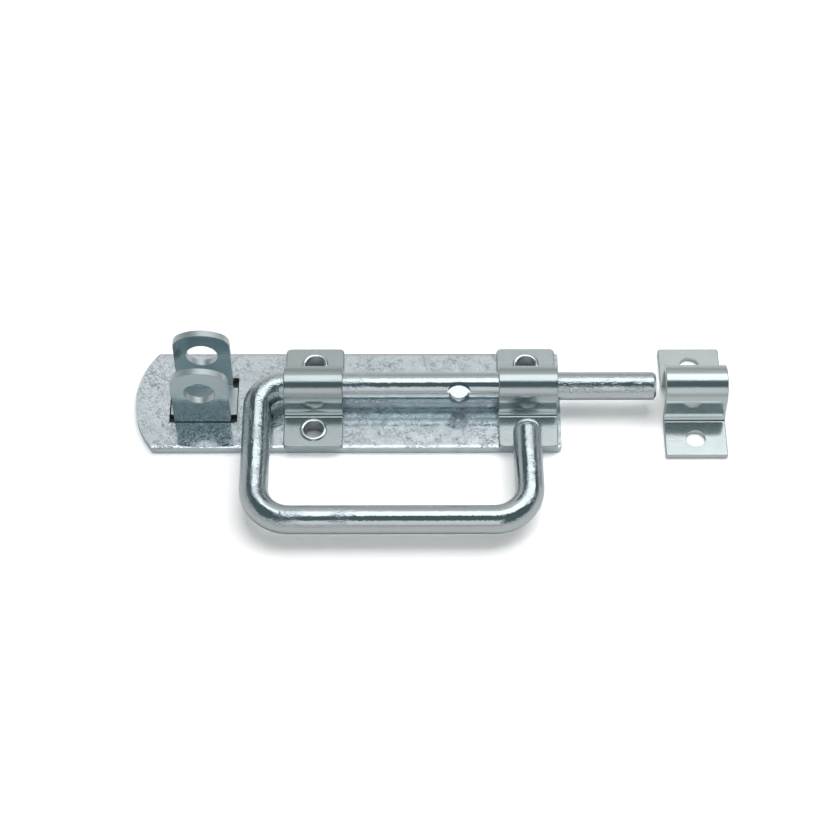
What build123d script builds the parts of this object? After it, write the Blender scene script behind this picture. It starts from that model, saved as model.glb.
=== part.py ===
"""Sliding bolt with a bow handle, padlock eyes and a separate keeper.

Millimetres. X runs along the bolt towards the keeper, Z stands out of the plate.
The origin is the middle of the plate's back face, the face that is screwed down.
"""
import os
from math import radians, sin, sqrt, tan

from build123d import *

# Base plate
plate_length = 145.0
plate_width = 40.0
plate_thickness = 3.0
nose_radius = 32.0
plate_corner_radius = 1.5
nose_corner_radius = 1.0
plate_edge_chamfer = 0.4

# Bar: rod, bow handle and free leg are one bent round bar
bar_diameter = 9.5
rod_projection = 32.0
tip_chamfer = 0.9
eye_to_leg_gap = 4.3
bend_to_strap_gap = 0.2
rod_bend_radius = 8.6
bow_bend_radius = 12.0
handle_reach = 52.6
handle_droop = 2.0
rod_lift = 0.35
right_leg_shift = -0.3
right_leg_lean = 0.75
leg_end_past_rivet = 1.8
leg_end_chamfer = 2.0
leg_over_rivet_gap = 0.1

# Stop pressed out of the rod: a bulge on the front, struck from above by a leaning round punch
bolt_travel = 36.6
bulge_radius = 4.3
bulge_offset = 1.9
punch_radius = 3.9
punch_offset = 5.1
punch_floor = 0.95
punch_lean = 12.0

# Guide straps
strap_thickness = 1.8
strap_width = 20.0
strap_overhang = 0.6
right_strap_inset = 1.3
strap_bend_radius = 1.9
strap_corner_radius = 1.6
rod_clearance = 0.55

# Tubular rivets, whose bores are the screw holes
rivet_bore = 6.2
rivet_shank = 7.4
rivet_head = 9.0
rivet_head_height = 0.6
rivet_flare = 0.45
rivet_lip_chamfer = 0.4
rivet_tail = 9.2
rivet_to_bend_gap = 0.2
rivet_clearance = 0.05

# Padlock staple, a U of sheet that stands in a window of the plate
staple_inset = 23.5
staple_thickness = 2.5
staple_span = 18.4
staple_height = 30.2
staple_bend_radius = 1.0
web_width = 22.6
eye_width = 19.5
eye_crown_radius = 14.0
eye_shoulder_radius = 5.0
eye_hole = 10.6
eye_hole_height = 19.3
window_clearance = 0.25
window_corner_radius = 0.8

# Keeper, fixed apart from the plate in line with the rod
keeper_thickness = 2.0
keeper_width = 21.0
keeper_length = 45.0
keeper_gap = 3.0
keeper_bend_radius = 2.0
keeper_corner_radius = 0.7
keeper_hole = 6.5
keeper_hole_pitch = 31.0

# Places that follow from the sizes
bar_radius = bar_diameter / 2
arch_radius = bar_radius + rod_clearance
flange_top = plate_thickness + strap_thickness
rim_top = flange_top + rivet_head_height
strap_length = plate_width + 2 * strap_overhang
bend_end_y = arch_radius + strap_thickness + strap_bend_radius
rivet_y = bend_end_y + rivet_to_bend_gap + rivet_head / 2
leg_end_reach = rivet_y + leg_end_past_rivet
leg_end_drop = (leg_end_reach + leg_end_chamfer) * sin(radians(handle_droop))
bar_height = rim_top + leg_over_rivet_gap + bar_radius + leg_end_drop
arch_height = bar_height - rod_lift
tail_depth = (rivet_tail - rivet_shank) / 2
staple_x = staple_inset - plate_length / 2
left_leg_x = staple_x + eye_width / 2 + eye_to_leg_gap + bar_radius
strap_left_x = left_leg_x + rod_bend_radius + bend_to_strap_gap + strap_width / 2
strap_right_x = plate_length / 2 - right_strap_inset - strap_width / 2
right_leg_x = strap_right_x + right_leg_shift
bulge_contact = sqrt(bulge_radius**2 - (arch_radius - bulge_offset) ** 2)
stop_x = strap_left_x + strap_width / 2 + bolt_travel + bulge_contact
tip_x = plate_length / 2 + rod_projection
keeper_x = tip_x + keeper_gap + keeper_width / 2
strap_places = {"left": strap_left_x, "right": strap_right_x}
rivet_places = {"front": -rivet_y, "back": rivet_y}

os.makedirs("parts", exist_ok=True)


def hat_profile(length, foot, thickness, bend_radius):
    """Section of a pressed strap: two flat flanges and an arch that the rod runs through."""
    top = foot + thickness
    outer = arch_radius + thickness
    with BuildSketch() as section:
        with BuildLine():
            flange = Line((-length / 2, top), (-outer - bend_radius, top))
            bend = JernArc(flange @ 1, flange % 1, bend_radius, 90)
            wall = Line(bend @ 1, (-outer, arch_height))
            crown = ThreePointArc(wall @ 1, (0, arch_height + outer), (outer, arch_height))
            far_wall = Line(crown @ 1, (outer, top + bend_radius))
            far_bend = JernArc(far_wall @ 1, far_wall % 1, bend_radius, 90)
            Line(far_bend @ 1, (length / 2, top))
            offset(amount=thickness, side=Side.RIGHT)
        make_face()
    return section.sketch


def upright_plane(x, y):
    """Plane that faces the front, with its origin on the back face at x, y."""
    return Plane(origin=(x, y, 0), x_dir=(1, 0, 0), z_dir=(0, -1, 0))


# Base plate: blanked, with a window for the staple and rivet holes countersunk from behind
nose_depth = nose_radius - sqrt(nose_radius**2 - (plate_width / 2) ** 2)
nose_corner_x = nose_depth - plate_length / 2
window_length = web_width + 2 * window_clearance
window_width = staple_span + 2 * window_clearance

with BuildPart() as base_plate:
    with BuildSketch():
        with BuildLine():
            Polyline(
                (nose_corner_x, -plate_width / 2),
                (plate_length / 2, -plate_width / 2),
                (plate_length / 2, plate_width / 2),
                (nose_corner_x, plate_width / 2),
            )
            ThreePointArc(
                (nose_corner_x, plate_width / 2),
                (-plate_length / 2, 0),
                (nose_corner_x, -plate_width / 2),
            )
        make_face()
        fillet(vertices().group_by(Axis.X)[-1], plate_corner_radius)
        fillet(vertices().group_by(Axis.X)[0], nose_corner_radius)
        with Locations((staple_x, 0)):
            RectangleRounded(window_length, window_width, window_corner_radius, mode=Mode.SUBTRACT)
    extrude(amount=plate_thickness)
    chamfer(faces().sort_by(Axis.Z)[-1].outer_wire().edges(), plate_edge_chamfer)
    with BuildSketch():
        for strap_x in strap_places.values():
            with Locations((strap_x, 0)):
                with GridLocations(0, 2 * rivet_y, 1, 2):
                    Circle(rivet_tail / 2 + rivet_clearance)
    extrude(amount=tail_depth, taper=45, mode=Mode.SUBTRACT)
    for strap_x in strap_places.values():
        with Locations((strap_x, 0, plate_thickness)):
            with GridLocations(0, 2 * rivet_y, 1, 2):
                Hole(rivet_shank / 2 + rivet_clearance)
base_plate.part.label = "base_plate"
export_step(base_plate.part, "parts/base_plate.step")

# Padlock staple: two eyes bent up from a web that lies level with the plate's back face
eye_outer = staple_span / 2
eye_inner = eye_outer - staple_thickness
web_edge = eye_inner - staple_bend_radius
bend_top = staple_thickness + staple_bend_radius
crown_to_shoulder = eye_crown_radius - eye_shoulder_radius
shoulder_x = eye_width / 2 - eye_shoulder_radius
shoulder_drop = sqrt(crown_to_shoulder**2 - shoulder_x**2)
crown_z = staple_height - eye_crown_radius
shoulder_z = crown_z + shoulder_drop
tangent_x = shoulder_x * eye_crown_radius / crown_to_shoulder
tangent_z = crown_z + shoulder_drop * eye_crown_radius / crown_to_shoulder
shoulder_reach = eye_shoulder_radius * sqrt(0.5)

with BuildPart() as padlock_staple:
    with BuildSketch(Plane.YZ.offset(staple_x - eye_width / 2)):
        with BuildLine():
            front_leg = Line((-eye_inner, staple_height), (-eye_inner, bend_top))
            front_bend = JernArc(front_leg @ 1, front_leg % 1, staple_bend_radius, 90)
            web = Line(front_bend @ 1, (web_edge, staple_thickness))
            back_bend = JernArc(web @ 1, web % 1, staple_bend_radius, 90)
            Line(back_bend @ 1, (eye_inner, staple_height))
            offset(amount=staple_thickness, side=Side.RIGHT)
        make_face()
    extrude(amount=eye_width)
    with BuildSketch(upright_plane(staple_x, 0)):
        with BuildLine():
            side = Line((eye_width / 2, 0), (eye_width / 2, shoulder_z))
            shoulder = ThreePointArc(
                side @ 1,
                (shoulder_x + shoulder_reach, shoulder_z + shoulder_reach),
                (tangent_x, tangent_z),
            )
            ThreePointArc(shoulder @ 1, (0, staple_height), (-tangent_x, tangent_z))
            mirror(shoulder, about=Plane.YZ)
            mirror(side, about=Plane.YZ)
            Line((-eye_width / 2, 0), (eye_width / 2, 0))
        make_face()
        with Locations((0, eye_hole_height)):
            Circle(eye_hole / 2, mode=Mode.SUBTRACT)
    extrude(amount=eye_outer, both=True, mode=Mode.INTERSECT)
    with Locations((staple_x, 0, 0)):
        Box(web_width, 2 * web_edge, staple_thickness, align=(Align.CENTER, Align.CENTER, Align.MIN))
padlock_staple.part.label = "padlock_staple"
export_step(padlock_staple.part, "parts/padlock_staple.step")

# Guide straps: pressed from sheet, each flange riveted to the plate
strap_profile = hat_profile(strap_length, plate_thickness, strap_thickness, strap_bend_radius)

for strap_name, strap_x in strap_places.items():
    with BuildPart() as guide_strap:
        with BuildSketch(Plane.YZ.offset(strap_x - strap_width / 2)):
            add(strap_profile)
        extrude(amount=strap_width)
        upright_edges = edges().filter_by(Axis.Z).group_by(Axis.Y)
        fillet(upright_edges[0] + upright_edges[-1], strap_corner_radius)
        with Locations((strap_x, 0, flange_top)):
            with GridLocations(0, 2 * rivet_y, 1, 2):
                Hole(rivet_shank / 2 + rivet_clearance, depth=strap_thickness)
    guide_strap.part.label = f"guide_strap_{strap_name}"
    export_step(guide_strap.part, f"parts/guide_strap_{strap_name}.step")

# Tubular rivets: a lip rolled out over the flange and a flared tail in the plate's countersink
with BuildSketch() as rivet_profile:
    with BuildLine():
        Polyline(
            (rivet_bore / 2, rim_top - rivet_flare),
            (rivet_bore / 2, 0),
            (rivet_tail / 2, 0),
            (rivet_shank / 2, tail_depth),
            (rivet_shank / 2, flange_top),
            (rivet_head / 2, flange_top),
            (rivet_head / 2, rim_top - rivet_lip_chamfer),
            (rivet_head / 2 - rivet_lip_chamfer, rim_top),
            (rivet_bore / 2 + rivet_flare, rim_top),
            close=True,
        )
    make_face()

for strap_name, strap_x in strap_places.items():
    for place_name, place_y in rivet_places.items():
        with BuildPart() as rivet:
            with BuildSketch(upright_plane(strap_x, place_y)):
                add(rivet_profile.sketch)
            revolve(axis=Axis((strap_x, place_y, 0), (0, 0, 1)))
        rivet.part.label = f"rivet_{strap_name}_{place_name}"
        export_step(rivet.part, f"parts/rivet_{strap_name}_{place_name}.step")

# Bolt bar: the rod, bent into the bow handle, whose free leg ends over the right strap's front flange.
# It is drawn level and then turned about the rod, because the handle droops until its end is stopped.
leg_end_x = right_leg_x - (handle_reach - leg_end_reach) * tan(radians(right_leg_lean))

with BuildPart() as bolt_bar:
    with BuildLine(Plane.XY.offset(bar_height)) as bar_path:
        FilletPolyline(
            (tip_x, 0),
            (left_leg_x, 0),
            (left_leg_x, -handle_reach),
            (right_leg_x, -handle_reach),
            (leg_end_x, -leg_end_reach),
            radius=[rod_bend_radius, bow_bend_radius, bow_bend_radius],
        )
    bar_start = bar_path.line @ 0
    bar_end = bar_path.line @ 1
    with BuildSketch(Plane(origin=bar_start, z_dir=bar_path.line % 0)):
        Circle(bar_radius)
    sweep(path=bar_path.line)
    chamfer(faces().sort_by_distance(bar_start)[0].edges(), tip_chamfer)
    chamfer(faces().sort_by_distance(bar_end)[0].edges(), leg_end_chamfer)
    with Locations((stop_x, -bulge_offset, bar_height)):
        Sphere(bulge_radius)
    with Locations(Location((stop_x, -punch_offset, bar_height + punch_floor), (punch_lean, 0, 0))):
        Cylinder(
            punch_radius,
            bar_diameter,
            align=(Align.CENTER, Align.CENTER, Align.MIN),
            mode=Mode.SUBTRACT,
        )
drooping_bar = bolt_bar.part.rotate(Axis((0, 0, bar_height), (1, 0, 0)), handle_droop)
drooping_bar.label = "bolt_bar"
export_step(drooping_bar, "parts/bolt_bar.step")

# Keeper: pressed like the straps, tall enough to stand on the frame without a plate under it
keeper_profile = hat_profile(keeper_length, 0, keeper_thickness, keeper_bend_radius)

with BuildPart() as keeper:
    with BuildSketch(Plane.YZ.offset(keeper_x - keeper_width / 2)):
        add(keeper_profile)
    extrude(amount=keeper_width)
    upright_edges = edges().filter_by(Axis.Z).group_by(Axis.Y)
    fillet(upright_edges[0] + upright_edges[-1], keeper_corner_radius)
    with Locations((keeper_x, 0, keeper_thickness)):
        with GridLocations(0, keeper_hole_pitch, 1, 2):
            Hole(keeper_hole / 2, depth=keeper_thickness)
keeper.part.label = "keeper"
export_step(keeper.part, "parts/keeper.step")
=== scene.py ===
"""A zinc-plated sliding bolt with a bow handle, its padlock staple and its keeper.

Metres. X runs along the bolt towards the keeper, Z stands out of the plate, and the camera
looks down on the side where the handle lies.
"""
from math import asin, atan2, cos, pi, radians, sin, sqrt

import bpy
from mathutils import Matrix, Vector


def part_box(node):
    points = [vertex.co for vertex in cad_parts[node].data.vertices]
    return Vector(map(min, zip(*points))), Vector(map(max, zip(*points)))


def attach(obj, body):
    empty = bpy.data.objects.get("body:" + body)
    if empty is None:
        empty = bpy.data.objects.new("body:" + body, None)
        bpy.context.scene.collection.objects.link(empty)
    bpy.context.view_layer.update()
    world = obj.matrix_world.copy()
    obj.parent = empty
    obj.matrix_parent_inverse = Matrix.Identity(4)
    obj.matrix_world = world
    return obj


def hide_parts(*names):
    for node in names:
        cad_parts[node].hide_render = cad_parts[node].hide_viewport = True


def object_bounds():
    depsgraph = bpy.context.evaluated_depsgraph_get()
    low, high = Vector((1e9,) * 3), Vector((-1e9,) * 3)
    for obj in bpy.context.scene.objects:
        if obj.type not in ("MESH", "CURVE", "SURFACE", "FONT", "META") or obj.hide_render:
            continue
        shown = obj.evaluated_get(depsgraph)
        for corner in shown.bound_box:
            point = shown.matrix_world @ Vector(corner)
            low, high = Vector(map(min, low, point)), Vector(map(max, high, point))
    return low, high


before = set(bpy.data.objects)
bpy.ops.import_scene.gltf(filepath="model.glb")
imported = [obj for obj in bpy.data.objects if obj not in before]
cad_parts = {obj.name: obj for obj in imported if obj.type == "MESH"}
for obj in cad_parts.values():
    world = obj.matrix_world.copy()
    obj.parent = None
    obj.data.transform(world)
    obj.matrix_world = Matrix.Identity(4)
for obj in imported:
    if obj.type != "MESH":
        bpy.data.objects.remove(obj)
cad_low, cad_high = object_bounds()


# Base plate: 3 mm mild steel strip with rolled long edges, cropped square at one end and to a
# large arc at the other, with a window for the staple. It was zinc plated after cropping, and its
# faces carry a fine crackle.
def begin(name, start):
    """Starts a piece as one vertex, from which runs and turns draw a line."""
    bpy.ops.object.select_all(action="DESELECT")
    bpy.ops.mesh.primitive_plane_add(size=0.001, location=(0, 0, 0))
    piece = bpy.context.active_object
    piece.name = piece.data.name = name
    bpy.ops.object.mode_set(mode="EDIT")
    bpy.ops.mesh.select_mode(type="VERT")
    bpy.ops.mesh.merge(type="CENTER")
    bpy.ops.transform.translate(value=start)
    return piece


def run(step):
    """Draws a straight stretch from the last vertex."""
    bpy.ops.mesh.extrude_vertices_move(TRANSFORM_OT_translate={"value": step})


def turn(centre, axis, angle, steps):
    """Turns what is selected about an axis through the centre, by the right-hand rule."""
    bpy.ops.mesh.spin(steps=steps, angle=-angle, center=centre, axis=axis)


def pick(piece, kind, wanted):
    """Selects the vertices, edges or faces whose middle and direction pass the test."""
    bpy.ops.object.mode_set(mode="EDIT")
    bpy.ops.mesh.select_mode(type=kind)
    bpy.ops.mesh.select_all(action="DESELECT")
    bpy.ops.object.mode_set(mode="OBJECT")
    mesh = piece.data
    if kind == "VERT":
        parts = [(vertex, vertex.co, vertex.normal) for vertex in mesh.vertices]
    elif kind == "FACE":
        parts = [(face, face.center, face.normal) for face in mesh.polygons]
    else:
        ends = [[mesh.vertices[i].co for i in edge.vertices] for edge in mesh.edges]
        parts = [(edge, (a + b) / 2, b - a) for edge, (a, b) in zip(mesh.edges, ends)]
    for part, middle, direction in parts:
        part.select = wanted(middle, direction)
    bpy.ops.object.mode_set(mode="EDIT")


same_place = 1e-6


def near(value, target):
    return abs(value - target) < 10 * same_place


def close_outline():
    """Joins the ends of a drawn outline and fills it with one face."""
    bpy.ops.mesh.select_all(action="SELECT")
    bpy.ops.mesh.remove_doubles(threshold=same_place)
    bpy.ops.mesh.edge_face_add()


def push(step):
    """Pushes the selected face out into a solid."""
    bpy.ops.mesh.extrude_region_move(TRANSFORM_OT_translate={"value": step})


def roll_rim(reach, drop, steps):
    """Raises the selected face in insets along a quarter ellipse, as rolled and dressed ends run."""
    for step in range(steps):
        low, high = step * pi / 2 / steps, (step + 1) * pi / 2 / steps
        bpy.ops.mesh.inset(
            thickness=reach * (cos(low) - cos(high)),
            depth=drop * (sin(high) - sin(low)),
        )


def turn_outwards():
    """Merges what meets, turns all faces outwards and leaves edit mode."""
    bpy.ops.mesh.select_all(action="SELECT")
    bpy.ops.mesh.remove_doubles(threshold=same_place)
    bpy.ops.mesh.normals_make_consistent(inside=False)
    bpy.ops.object.mode_set(mode="OBJECT")


def apply(piece, kind, **settings):
    """Adds a modifier to the piece and applies it at once."""
    bpy.ops.object.select_all(action="DESELECT")
    piece.select_set(True)
    bpy.context.view_layer.objects.active = piece
    modifier = piece.modifiers.new("shaping", kind)
    for setting, value in settings.items():
        setattr(modifier, setting, value)
    bpy.ops.object.modifier_apply(modifier=modifier.name)


def cut(piece, cutter):
    """Cuts the cutter's shape out of the piece and throws the cutter away."""
    apply(piece, "BOOLEAN", object=cutter, operation="DIFFERENCE", solver="EXACT")
    bpy.data.objects.remove(cutter)


def drill(piece, centre, radius, length, tilt=(0, 0, 0), end_radius=None):
    """Drills a round hole, or a countersink where the end's radius differs."""
    bpy.ops.object.select_all(action="DESELECT")
    bpy.ops.mesh.primitive_cone_add(
        vertices=72, radius1=radius, radius2=radius if end_radius is None else end_radius,
        depth=length, location=centre, rotation=tilt,
    )
    cut(piece, bpy.context.active_object)


def round_edges(piece, width, steps, limit=40):
    """Rounds the sharp edges."""
    apply(piece, "BEVEL", width=width, segments=steps, limit_method="ANGLE", angle_limit=radians(limit))


def ease_edges(piece, width, steps=3, limit=40):
    """Rounds the sharp edges and keeps the flat faces flat under smooth shading."""
    round_edges(piece, width, steps, limit)
    bpy.ops.object.shade_smooth_by_angle(angle=radians(50))
    apply(piece, "WEIGHTED_NORMAL", keep_sharp=True, weight=80)


plate_low, plate_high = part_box("base_plate")
plate_back = plate_low.z
plate_top = plate_high.z
half_width = plate_high.y
nose_radius = 0.032
nose_half_angle = asin(half_width / nose_radius)
nose_x = plate_low.x + nose_radius
nose_corner_x = nose_x - nose_radius * cos(nose_half_angle)
square_corner_radius = 0.0015
nose_corner_cut = 0.0007
crop_margin = 0.005
rim_reach = 0.0014
rim_drop = 0.0003

plate = begin("plate_strip", (plate_low.x - crop_margin, -half_width, plate_back))
run((plate_high.x - plate_low.x + 2 * crop_margin, 0, 0))
run((0, 2 * half_width, 0))
run((plate_low.x - plate_high.x - 2 * crop_margin, 0, 0))
close_outline()
push((0, 0, plate_top - rim_drop - plate_back))
turn_outwards()
pick(plate, "FACE", lambda middle, normal: near(middle.z, plate_top - rim_drop))
roll_rim(rim_reach, rim_drop, 7)
bpy.ops.object.mode_set(mode="OBJECT")

blank = begin("plate_blank", (nose_corner_x, -half_width, plate_back - crop_margin))
run((plate_high.x - nose_corner_x, 0, 0))
run((0, 2 * half_width, 0))
run((nose_corner_x - plate_high.x, 0, 0))
turn((nose_x, 0, plate_back), (0, 0, 1), 2 * nose_half_angle, 48)
close_outline()
pick(blank, "VERT", lambda middle, normal: near(middle.x, plate_high.x))
bpy.ops.mesh.bevel(offset=square_corner_radius, segments=8, affect="VERTICES")
pick(blank, "VERT", lambda middle, normal: near(middle.x, nose_corner_x)
     and near(abs(middle.y), half_width))
bpy.ops.mesh.bevel(offset=nose_corner_cut, segments=6, affect="VERTICES")
pick(blank, "FACE", lambda middle, normal: True)
push((0, 0, plate_top - plate_back + 2 * crop_margin))
turn_outwards()
apply(plate, "BOOLEAN", object=blank, operation="INTERSECT", solver="EXACT")
bpy.data.objects.remove(blank)

staple_low, staple_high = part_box("padlock_staple")
staple_x = (staple_low.x + staple_high.x) / 2
window_gap = 0.00025
window_corner = 0.0008
through_plate = 0.02
window_size = (
    staple_high.x - staple_low.x + 2 * window_gap,
    staple_high.y - staple_low.y + 2 * window_gap,
    through_plate,
)
bpy.ops.object.select_all(action="DESELECT")
bpy.ops.mesh.primitive_cube_add(size=1, location=(staple_x, 0, 0), scale=window_size)
window = bpy.context.active_object
bpy.ops.object.transform_apply(location=True, rotation=True, scale=True)
pick(window, "EDGE", lambda middle, along: near(along.x, 0) and near(along.y, 0))
bpy.ops.mesh.bevel(offset=window_corner, segments=5)
bpy.ops.object.mode_set(mode="OBJECT")
cut(plate, window)

strap_boxes = {side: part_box(f"guide_strap_{side}") for side in ("left", "right")}
rivet_nodes = [f"rivet_{side}_{place}" for side in ("left", "right") for place in ("front", "back")]
rivet_centres = {node: (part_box(node)[0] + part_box(node)[1]) / 2 for node in rivet_nodes}
shank_hole_radius = 0.00375
tail_hole_radius = 0.00465
tail_depth = 0.0009
tail_overcut = 0.001
plate_edge = 0.00015
for centre in rivet_centres.values():
    drill(plate, (centre.x, centre.y, 0), shank_hole_radius, through_plate)
    drill(
        plate, (centre.x, centre.y, (tail_depth - tail_overcut) / 2), tail_hole_radius + tail_overcut,
        tail_depth + tail_overcut, end_radius=tail_hole_radius - tail_depth,
    )
ease_edges(plate, plate_edge, 2)


class Value:
    """A number or colour in a finish, which can be written in plain arithmetic."""

    def __init__(self, nodes, link):
        self.nodes = nodes
        self.link = link

    def maths(self, operation, *values):
        return self.nodes.add("ShaderNodeMath", {"operation": operation}, dict(enumerate(values)))

    def __add__(self, other):
        return self.maths("ADD", self, other)

    def __sub__(self, other):
        return self.maths("SUBTRACT", self, other)

    def __rsub__(self, other):
        return self.maths("SUBTRACT", other, self)

    def __mul__(self, other):
        return self.maths("MULTIPLY", self, other)

    def __truediv__(self, other):
        return self.maths("DIVIDE", self, other)

    __radd__ = __add__
    __rmul__ = __mul__


class Nodes:
    """The nodes of one finish, of the floor or of the room."""

    def __init__(self, tree):
        self.tree = tree
        tree.nodes.clear()

    def add(self, kind, settings=None, sockets=None, output=0):
        """Adds a node, sets it up, fills its sockets and hands back one of its outputs."""
        node = self.tree.nodes.new(kind)
        for setting, value in (settings or {}).items():
            if setting == "stops":
                self.set_stops(node.color_ramp, value)
            else:
                setattr(node, setting, value)
        for socket, value in (sockets or {}).items():
            if isinstance(value, Value):
                self.tree.links.new(value.link, node.inputs[socket])
            else:
                node.inputs[socket].default_value = value
        return Value(self, node.outputs[output]) if len(node.outputs) else None

    def set_stops(self, ramp, stops):
        """Gives a ramp its stops, each a place along it and a grey or a colour."""
        while len(ramp.elements) < len(stops):
            ramp.elements.new(1)
        for element, (place, shade) in zip(ramp.elements, stops):
            element.position = place
            element.color = (*shade, 1) if isinstance(shade, tuple) else (shade, shade, shade, 1)

    def step(self, value, low, high):
        """Rises smoothly from 0 to 1 as the value goes from low to high."""
        return self.add(
            "ShaderNodeMapRange",
            {"interpolation_type": "SMOOTHSTEP"},
            {"Value": value, "From Min": low, "From Max": high},
        )

    def mix(self, factor, first, second):
        """Goes from the first colour to the second as the factor goes from 0 to 1."""
        return self.add("ShaderNodeMix", {"data_type": "RGBA"}, {0: factor, 6: first, 7: second}, 2)

    def noise(self, place, size, detail=2, roughness=0.5):
        """Soft noise whose lumps are about as wide as the size."""
        return self.add(
            "ShaderNodeTexNoise",
            {},
            {"Vector": place, "Scale": 1 / size, "Detail": detail, "Roughness": roughness},
        )

    def vein(self, place, size, width):
        """Thin wandering lines, 1 on the line and 0 away from it."""
        off_line = self.noise(place, size, 4, 0.6) - 0.5
        return 1 - self.step(off_line.maths("ABSOLUTE", off_line), 0, width)

    def place(self):
        return self.add("ShaderNodeTexCoord", {}, {}, "Object")


def shade(colour, factor):
    return tuple(part * factor for part in colour[:3]) + (1,)


# Every piece is bright blue-passivated zinc over steel, mirror-like in the large but broken up
# by fine grain, which is coarser in some patches than in others. The plate's is crazed as well.
def zinc(name, colour, roughness, grain_size, grain_height, vein_height=0.0, smooth_x=None):
    """A zinc finish with grain, with fine veins where it is crazed, and calmer near smooth_x.

    grain_size is the width of a grain, grain_height and vein_height are metres of relief, and
    smooth_x is a place along the bolt, or None where the grain is the same from end to end.
    """
    blotch = 0.05
    rough_spread = 0.03
    vein_darkness = 0.6
    finish = bpy.data.materials.new(name)
    finish.use_nodes = True
    nodes = Nodes(finish.node_tree)
    place = nodes.place()
    blotches = nodes.noise(place, 0.012, 4, 0.6)
    patches = nodes.step(nodes.noise(place, 0.008, 3), 0.38, 0.62)
    grain = nodes.noise(place, grain_size, 1) + nodes.noise(place, grain_size * 3, 2) * 0.3
    coarse = patches * 1.1 + 0.45
    if smooth_x is not None:
        across = nodes.add("ShaderNodeSeparateXYZ", {}, {"Vector": place}) - smooth_x
        coarse = coarse * (nodes.step(across.maths("ABSOLUTE", across), 0.012, 0.034) * 1.3 + 0.5)
    height = grain * coarse * grain_height
    tone = nodes.mix(blotches, shade(colour, 1 - blotch), shade(colour, 1 + blotch))
    if vein_height:
        crazed = nodes.step(nodes.noise(place, 0.0045, 3), 0.42, 0.58)
        long_veins = nodes.vein(place, 0.0034, 0.016)
        short_veins = nodes.vein(place, 0.0013, 0.03) * 0.6
        veins = (long_veins + short_veins) * (crazed * 0.75 + 0.25)
        height = height - veins * vein_height
        tone = nodes.mix(veins * vein_darkness, tone, shade(colour, 0.45))
    bump = nodes.add("ShaderNodeBump", {}, {"Strength": 1.0, "Distance": 1.0, "Height": height})
    rough = nodes.noise(place, 0.003, 3) * (2 * rough_spread) + (roughness - rough_spread)
    surface = nodes.add(
        "ShaderNodeBsdfPrincipled",
        {},
        {"Base Color": tone, "Metallic": 1.0, "Roughness": rough, "Normal": bump},
    )
    nodes.add("ShaderNodeOutputMaterial", {}, {"Surface": surface})
    return finish


def dress(piece, finishes, body, slot, *replaced):
    """Gives a piece its finishes and its body, and hides the nodes that it stands for. The slot is not
    used.
    """
    for finish in finishes:
        piece.data.materials.append(finish)
    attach(piece, body)
    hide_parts(*replaced)


plate_zinc = zinc("crazed_zinc", (0.78, 0.86, 0.90), 0.085, 0.0005, 0.000014, 0.00004)
dress(plate, [plate_zinc], "plate", "plate", "base_plate")


# Padlock staple: one strip of 2.5 mm sheet folded into a U. Its two eyes stand up through the
# window of the plate, and its web lies in the window, a little under the plate's face.
staple_sheet = 0.0025
fold_inside = 0.001
fold_outside = fold_inside + staple_sheet
eye_half = 0.0096
eye_rounding = 0.0005
eye_top = staple_high.z
crown_radius = 0.014
shoulder_radius = 0.005
crown_z = eye_top - crown_radius
shoulder_x = eye_half - shoulder_radius
shoulder_z = crown_z + sqrt((crown_radius - shoulder_radius) ** 2 - shoulder_x ** 2)
shoulder_angle = atan2(shoulder_z - crown_z, shoulder_x)
eye_front = staple_low.y
fold_y = eye_front + fold_outside
hole_radius = 0.0053
hole_z = 0.0193
through_eyes = 0.04
eye_hole_edge = 0.0001

staple = begin("staple_u", (staple_x - eye_half, eye_front, fold_outside))
run((2 * eye_half, 0, 0))
run((0, 0, shoulder_z - fold_outside))
turn((staple_x + shoulder_x, eye_front, shoulder_z), (0, -1, 0), shoulder_angle, 10)
turn((staple_x, eye_front, crown_z), (0, -1, 0), pi - 2 * shoulder_angle, 24)
turn((staple_x - shoulder_x, eye_front, shoulder_z), (0, -1, 0), shoulder_angle, 10)
close_outline()
push((0, staple_sheet, 0))
turn_outwards()
pick(staple, "FACE", lambda middle, normal: near(middle.z, fold_outside) and abs(normal.z) > 0.9)
bpy.ops.mesh.delete(type="ONLY_FACE")
pick(staple, "EDGE", lambda middle, along: near(middle.z, fold_outside) and near(along.z, 0))
turn((staple_x, fold_y, fold_outside), (1, 0, 0), pi / 2, 10)
bpy.ops.mesh.extrude_edges_move(TRANSFORM_OT_translate={"value": (0, -fold_y, 0)})
bpy.ops.object.mode_set(mode="OBJECT")
apply(staple, "MIRROR", use_axis=(False, True, False), use_clip=True, merge_threshold=10 * same_place)
bpy.ops.object.mode_set(mode="EDIT")
turn_outwards()
web_spread = (staple_high.x - staple_low.x) / 2 - eye_half
for side in (-1, 1):
    pick(staple, "FACE", lambda middle, normal: normal.x * side > 0.9 and abs(middle.y) < -fold_y
         and middle.z < staple_sheet)
    push((side * web_spread, 0, 0))
    bpy.ops.object.mode_set(mode="OBJECT")
round_edges(staple, eye_rounding, 4)
drill(staple, (staple_x, 0, hole_z), hole_radius, through_eyes, (pi / 2, 0, 0))
ease_edges(staple, eye_hole_edge, 2, 60)
for face in staple.data.polygons:
    sheared = abs(face.normal.y) < 0.6 and face.center.z > 2 * staple_sheet
    lying = face.normal.z > 0.9 and face.center.z < 2 * staple_sheet
    face.material_index = 1 if sheared or lying else 0
staple_zinc = zinc("folded_sheet_zinc", (0.55, 0.66, 0.69), 0.17, 0.0007, 0.000008)
sheared_zinc = zinc("sheared_edge_zinc", (0.80, 0.87, 0.88), 0.42, 0.0005, 0.00002)
dress(staple, [staple_zinc, sheared_zinc], "plate", "staple", "padlock_staple")
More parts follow.
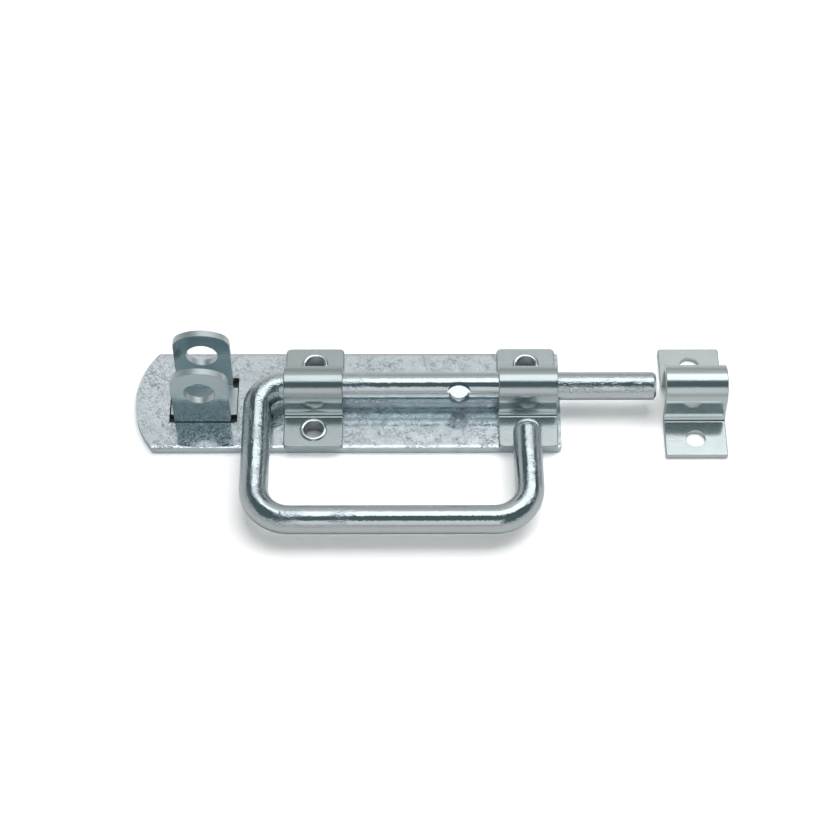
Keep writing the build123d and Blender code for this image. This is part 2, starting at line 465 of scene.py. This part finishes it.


# Guide straps: two pressed strips of 1.8 mm sheet, each with an arch that the rod runs through
# and two flanges that the rivets hold down. The left one is painted a little darker: painted shade for
# the weaker light at the softbox's left edge.
arch_radius = 0.0053
arch_z = 0.010511
flange_hole_edge = 0.00008


def press_arch(name, low, high, foot, sheet, bend_radius, corner_radius, edge_rounding, hole_radius,
               hole_pitch):
    """Presses a strip of sheet into an arch with two flanges, and drills the flanges."""
    bend_y = arch_radius + bend_radius + sheet
    bend_z = foot + bend_radius + sheet
    piece = begin(name, (low.x, low.y, foot))
    run((0, -bend_y - low.y, 0))
    turn((low.x, -bend_y, bend_z), (1, 0, 0), pi / 2, 8)
    run((0, 0, arch_z - bend_z))
    turn((low.x, 0, arch_z), (1, 0, 0), -pi, 40)
    run((0, 0, bend_z - arch_z))
    turn((low.x, bend_y, bend_z), (1, 0, 0), pi / 2, 8)
    run((0, high.y - bend_y, 0))
    bpy.ops.mesh.select_all(action="SELECT")
    bpy.ops.mesh.extrude_edges_move(TRANSFORM_OT_translate={"value": (high.x - low.x, 0, 0)})
    turn_outwards()
    pick(piece, "VERT", lambda middle, normal: near(abs(middle.y), high.y))
    bpy.ops.mesh.bevel(offset=corner_radius, segments=8, affect="VERTICES")
    bpy.ops.object.mode_set(mode="OBJECT")
    crown = max(piece.data.polygons, key=lambda face: face.center.z)
    outwards = 1 if crown.normal.z > 0 else -1
    apply(piece, "SOLIDIFY", thickness=sheet, offset=outwards, use_even_offset=True)
    round_edges(piece, edge_rounding, 3)
    for y in (-hole_pitch / 2, hole_pitch / 2):
        drill(piece, ((low.x + high.x) / 2, y, foot), hole_radius, 4 * sheet)
    ease_edges(piece, flange_hole_edge, 2, 60)
    return piece


strap_sheet = 0.0018
strap_bend = 0.0019
strap_corner = 0.0016
strap_edge = 0.00035
# The left strap's darker colour is painted shade; both straps are the same zinc.
strap_colours_with_painted_shade = {"left": (0.53, 0.60, 0.605), "right": (0.58, 0.65, 0.665)}
rivet_pitch = 2 * rivet_centres["rivet_left_back"].y
for side, (strap_low, strap_high) in strap_boxes.items():
    strap = press_arch(
        f"pressed_strap_{side}", strap_low, strap_high, plate_top, strap_sheet, strap_bend,
        strap_corner, strap_edge, shank_hole_radius, rivet_pitch,
    )
    strap_zinc = zinc(f"pressed_strap_zinc_{side}", strap_colours_with_painted_shade[side], 0.20, 0.0005, 0.000012)
    dress(strap, [strap_zinc], "plate", "strap", f"guide_strap_{side}")


# Tubular rivets: short steel tubes, flared into the plate's countersinks behind and rolled over
# the straps' flanges in front. Their bores stay open for the screws that hold the plate.
rivet_profile = [  # millimetres out from the rivet's axis and up from the plate's back
    (3.15, 0.6), (3.15, 2.6), (3.15, 4.9), (3.17, 5.14), (3.28, 5.27), (3.5, 5.34), (3.85, 5.4),
    (4.15, 5.36), (4.46, 5.24), (4.61, 5.06), (4.58, 4.87), (4.25, 4.83), (3.7, 4.81), (3.7, 2.6),
    (3.7, 0.95), (4.05, 0.55), (4.5, 0.12), (4.5, 0.01), (3.9, 0.05), (3.4, 0.25), (3.15, 0.6),
]
rivet = begin("rivet", (rivet_profile[0][0] / 1000, 0, rivet_profile[0][1] / 1000))
for before, after in zip(rivet_profile, rivet_profile[1:]):
    run(((after[0] - before[0]) / 1000, 0, (after[1] - before[1]) / 1000))
bpy.ops.mesh.select_all(action="SELECT")
bpy.ops.mesh.remove_doubles(threshold=same_place)
bpy.ops.mesh.select_all(action="SELECT")
turn((0, 0, 0), (0, 0, 1), 2 * pi, 56)
turn_outwards()
apply(rivet, "SUBSURF", levels=1, render_levels=1)
bpy.ops.object.shade_smooth_by_angle(angle=radians(50))
rivet_zinc = zinc("rolled_rivet_zinc", (0.86, 0.92, 0.94), 0.09, 0.0005, 0.000006)


def copy_to(piece, name, place):
    """Copies a piece with its own mesh to a place, and settles the place in the mesh."""
    copied = piece.copy()
    copied.data = piece.data.copy()
    copied.name = copied.data.name = name
    bpy.context.scene.collection.objects.link(copied)
    copied.location = place
    bpy.ops.object.select_all(action="DESELECT")
    copied.select_set(True)
    bpy.context.view_layer.objects.active = copied
    bpy.ops.object.transform_apply(location=True, rotation=True, scale=True)
    return copied


for node, centre in rivet_centres.items():
    tube = copy_to(rivet, node.replace("rivet", "tube_rivet"), (centre.x, centre.y, 0))
    dress(tube, [rivet_zinc], "plate", "rivet", node)
bpy.data.objects.remove(rivet)


# Bolt bar: 9.5 mm bright bar, bent cold into the rod, the bow handle and the free leg in one.
# A stop is pressed out of the rod's front side between the straps, and the ends are dressed.
bar_low, bar_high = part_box("bolt_bar")
bar_radius = 0.00475
tip_x = bar_high.x
tip_chamfer = 0.0009
stop_x = 0.037832
stop_reach = 0.0068
leg_x = bar_low.x + bar_radius
rod_bend = 0.0086
bow_bend = 0.012
rod_z = 0.010861
handle_reach = 0.0526
droop = radians(2)
bow_y = -handle_reach
right_lean = radians(0.75)
right_corner_x = 0.0609
tangent = bow_bend * sin(pi / 4 + right_lean / 2) / cos(pi / 4 + right_lean / 2)
leg_end_y = -0.0155
leg_rounding = 0.0034

bpy.ops.object.select_all(action="DESELECT")
bpy.ops.mesh.primitive_circle_add(
    vertices=64, radius=bar_radius, location=(tip_x - tip_chamfer, 0, rod_z), rotation=(0, pi / 2, 0)
)
bar = bpy.context.active_object
bar.name = bar.data.name = "bow_handled_bolt"
bpy.ops.object.transform_apply(location=True, rotation=True, scale=True)
bpy.ops.object.mode_set(mode="EDIT")
bpy.ops.mesh.select_mode(type="EDGE")
bpy.ops.mesh.select_all(action="SELECT")


def draw_bar(length, heading, pieces=1):
    """Draws the bar on from its open end along a heading in the plate's plane."""
    for _ in range(pieces):
        step = (length / pieces * cos(heading), length / pieces * sin(heading), 0)
        bpy.ops.mesh.extrude_edges_move(TRANSFORM_OT_translate={"value": step})


draw_bar(tip_x - tip_chamfer - stop_x - stop_reach, pi, 10)
draw_bar(2 * stop_reach, pi, 54)
draw_bar(stop_x - stop_reach - leg_x - rod_bend, pi, 8)
turn((leg_x + rod_bend, -rod_bend, rod_z), (0, 0, 1), pi / 2, 20)
draw_bar(-rod_bend - bow_y - bow_bend, -pi / 2, 6)
turn((leg_x + bow_bend, bow_y + bow_bend, rod_z), (0, 0, 1), pi / 2, 24)
draw_bar(right_corner_x - tangent - leg_x - bow_bend, 0, 10)
turn((right_corner_x - tangent, bow_y + bow_bend, rod_z), (0, 0, 1), pi / 2 + right_lean, 24)
straight_end = Vector((
    right_corner_x - tangent + bow_bend * cos(right_lean),
    bow_y + bow_bend + bow_bend * sin(right_lean),
))
leg_length = (leg_end_y - straight_end.y) / cos(right_lean) - leg_rounding
draw_bar(leg_length, pi / 2 + right_lean, 4)
bpy.ops.mesh.edge_face_add()
bpy.ops.mesh.select_mode(type="FACE")
turn_outwards()
pick(bar, "FACE", lambda middle, normal: middle.y > leg_end_y - leg_rounding - 0.0005 and normal.y > 0.99
     and middle.x > 0.05 and middle.y < -0.01)
roll_rim(leg_rounding, leg_rounding, 10)
bpy.ops.object.mode_set(mode="OBJECT")
pick(bar, "EDGE", lambda middle, along: near(middle.x, tip_x - tip_chamfer) and abs(along.x) < same_place)
bpy.ops.mesh.edge_face_add()
turn_outwards()
pick(bar, "FACE", lambda middle, normal: near(middle.x, tip_x - tip_chamfer))
bpy.ops.mesh.inset(thickness=tip_chamfer, depth=tip_chamfer)
bpy.ops.object.mode_set(mode="OBJECT")

bulge_radius = 0.0043
bulge_y = -0.0022
punch_radius = 0.0041
punch_lean = radians(12)
punch_length = 0.01
punch_face = Vector((stop_x, -0.0050, rod_z + 0.0021))
punch_middle = punch_face + Vector((0, -sin(punch_lean), cos(punch_lean))) * punch_length / 2
bpy.ops.object.select_all(action="DESELECT")
bpy.ops.mesh.primitive_uv_sphere_add(
    segments=96, ring_count=64, radius=bulge_radius, location=(stop_x, bulge_y, rod_z)
)
bulge = bpy.context.active_object
apply(bar, "BOOLEAN", object=bulge, operation="UNION", solver="EXACT")
bpy.data.objects.remove(bulge)
drill(bar, punch_middle, punch_radius, punch_length, (punch_lean, 0, 0))
pick(bar, "VERT", lambda middle, normal: True)
bpy.ops.transform.rotate(value=-droop, orient_axis="X", center_override=(0, 0, rod_z))
bpy.ops.object.mode_set(mode="OBJECT")
bpy.ops.object.shade_smooth_by_angle(angle=radians(35))
apply(bar, "WEIGHTED_NORMAL", keep_sharp=True, weight=80)
bar_zinc = zinc("polished_bar_zinc", (0.67, 0.74, 0.765), 0.055, 0.0005, 0.00005, 0, 0.034)
dress(bar, [bar_zinc], "bar", "bar", "bolt_bar")


# Keeper: pressed like the straps, but of 2 mm sheet and taller, because it is screwed straight to
# the frame of the door. Its flanges have plain holes for two screws.
keeper_low, keeper_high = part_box("keeper")
keeper_sheet = 0.002
keeper_bend = 0.002
keeper_corner = 0.0007
keeper_edge = 0.00035
keeper_hole_radius = 0.00325
keeper_pitch = 0.031
keeper = press_arch(
    "pressed_keeper", keeper_low, keeper_high, keeper_low.z, keeper_sheet, keeper_bend,
    keeper_corner, keeper_edge, keeper_hole_radius, keeper_pitch,
)
keeper_zinc = zinc("pressed_keeper_zinc", (0.68, 0.75, 0.755), 0.18, 0.0005, 0.000012)
dress(keeper, [keeper_zinc], "plate", "keeper", "keeper")


# The table: a plain white sheet, lit from above, which the camera sees as white and which keeps
# the soft shadow of the bolt.
bpy.ops.object.select_all(action="DESELECT")
bpy.ops.mesh.primitive_plane_add(size=6, location=(0, 0, cad_low.z))
table = bpy.context.active_object
table.name = table.data.name = "white_table"
paper = bpy.data.materials.new("white_paper")
paper.use_nodes = True
nodes = Nodes(paper.node_tree)
on_camera = nodes.add("ShaderNodeLightPath", {}, {}, "Is Camera Ray")
on_gloss = nodes.add("ShaderNodeLightPath", {}, {}, "Is Glossy Ray")
on_glass = nodes.add("ShaderNodeLightPath", {}, {}, "Is Transmission Ray")
bounces = nodes.add("ShaderNodeLightPath", {}, {}, "Diffuse Depth")
after_matt = nodes.step(bounces, 0.4, 0.6)
white_gain = 4
gloss_gain = 1.3
seen = (on_camera + on_glass) * white_gain + on_gloss * (1 - after_matt) * gloss_gain + 1

# The table under the plate, seen through the rivets' bores and the notches beside the staple,
# is painted darker there: a painted shadow on the table's colour.
painted_shadow_spot = nodes.place()
spot_x = nodes.add("ShaderNodeSeparateXYZ", {}, {"Vector": painted_shadow_spot}, 0)
spot_y = nodes.add("ShaderNodeSeparateXYZ", {}, {"Vector": painted_shadow_spot}, 1)
shade_edge = 0.002
shade_half_width = 0.019
inside_y = 1 - nodes.step(
    spot_y.maths("ABSOLUTE", spot_y), shade_half_width - shade_edge, shade_half_width
)
for middle, half_length, darker in ((0.002, 0.064, 0.6), (staple_x, 0.0135, 0.85)):
    off_middle = spot_x - middle
    inside_x = 1 - nodes.step(
        off_middle.maths("ABSOLUTE", off_middle), half_length - shade_edge, half_length
    )
    seen = seen * (1 - inside_x * inside_y * darker)
lit_white = nodes.add(
    "ShaderNodeVectorMath", {"operation": "SCALE"}, {0: (0.8, 0.8, 0.8), "Scale": seen}
)
paper_white = nodes.add("ShaderNodeBsdfDiffuse", {}, {"Color": lit_white})
nodes.add("ShaderNodeOutputMaterial", {}, {"Surface": paper_white})
table.data.materials.append(paper)

# The light: one large softbox over the right and back of the table, and a room whose walls are
# pale in front and below, dark at the sides and just in front of the softbox, and grey behind.
# The walls' stops run from the front horizon at 0, past overhead at 0.5, to the back one at 1.
box_height = 1.2
box_width = 1.22 * box_height
box_depth = 0.71 * box_height
box_turn = radians(10)
box_radiance = 1.3
softbox = bpy.data.lights.new("softbox", "AREA")
softbox.shape = "RECTANGLE"
softbox.size = box_width
softbox.size_y = box_depth
softbox.energy = box_radiance * pi * box_width * box_depth
lamp = bpy.data.objects.new("softbox", softbox)
lamp.location = (0.02 + 0.382 * box_height, 0.345 * box_height, box_height)
lamp.rotation_euler = (0, 0, box_turn)
bpy.context.scene.collection.objects.link(lamp)

room = bpy.data.worlds.new("studio_room")
room.use_nodes = True
bpy.context.scene.world = room
nodes = Nodes(room.node_tree)
towards = nodes.add("ShaderNodeTexCoord", {}, {}, "Generated")
across = nodes.add("ShaderNodeSeparateXYZ", {}, {"Vector": towards}, 0)
along_y = nodes.add("ShaderNodeSeparateXYZ", {}, {"Vector": towards}, 1)
up = nodes.add("ShaderNodeSeparateXYZ", {}, {"Vector": towards}, 2)
height_angle = up.maths("ARCTAN2", up, 0 - along_y) / pi
dark_wall = (0.085, 0.12, 0.13)
walls = nodes.add(
    "ShaderNodeValToRGB",
    {"stops": [
        (0.0, 0.49), (14 / 180, 0.49), (17 / 180, 0.75), (46 / 180, 0.75), (50 / 180, dark_wall),
        (123 / 180, dark_wall), (124.5 / 180, 0.66), (1.0, 0.26),
    ]},
    {"Fac": height_angle},
)
sideways = across.maths("ABSOLUTE", across)
on_left = 1 - nodes.step(across, -0.12, -0.05)
mirrored = nodes.add("ShaderNodeLightPath", {}, {}, "Glossy Depth")
in_front = 1 - nodes.step(height_angle, 0.26, 0.28)
lighter = on_left * 0.2 + nodes.step(mirrored, 1.4, 1.6) * in_front * 0.7 + 1
walls = nodes.add("ShaderNodeVectorMath", {"operation": "SCALE"}, {0: walls, "Scale": lighter})
walls = nodes.mix(nodes.step(sideways, 0.2, 0.26), walls, (*dark_wall, 1))
low_wall = (0.47, 0.47, 0.47, 1)
walls = nodes.mix(nodes.step(up - on_left * 0.18, 0.25, 0.33), low_wall, walls)
on_camera = nodes.add("ShaderNodeLightPath", {}, {}, "Is Camera Ray")
on_matt = nodes.add("ShaderNodeLightPath", {}, {}, "Is Diffuse Ray")
fill_light = (0.10, 0.10, 0.099, 1)
walls = nodes.mix(on_matt, walls, fill_light)
wall_light = nodes.add("ShaderNodeBackground", {}, {"Color": walls, "Strength": 1.0})
white_wall = nodes.add("ShaderNodeBackground", {}, {"Color": (1, 1, 1, 1), "Strength": 1.0})
room_light = nodes.add("ShaderNodeMixShader", {}, {0: on_camera, 1: wall_light, 2: white_wall})
nodes.add("ShaderNodeOutputWorld", {}, {"Surface": room_light})

# The camera, a little left of the middle and 54 degrees above the table.
look_at = Vector((0.02265, -0.00379, 0))
view_angle = radians(54.35)
distance = 0.7455
side_step = -0.0008
camera = bpy.data.cameras.new("camera")
camera.sensor_width = 36
camera.lens = 2179 / 828 * 36
viewer = bpy.data.objects.new("camera", camera)
viewer.location = look_at + Vector((side_step, -cos(view_angle) * distance, sin(view_angle) * distance))
viewer.rotation_euler = (look_at - viewer.location).to_track_quat("-Z", "Y").to_euler()
bpy.context.scene.collection.objects.link(viewer)
bpy.context.scene.camera = viewer
bpy.context.scene.view_settings.view_transform = "Standard"
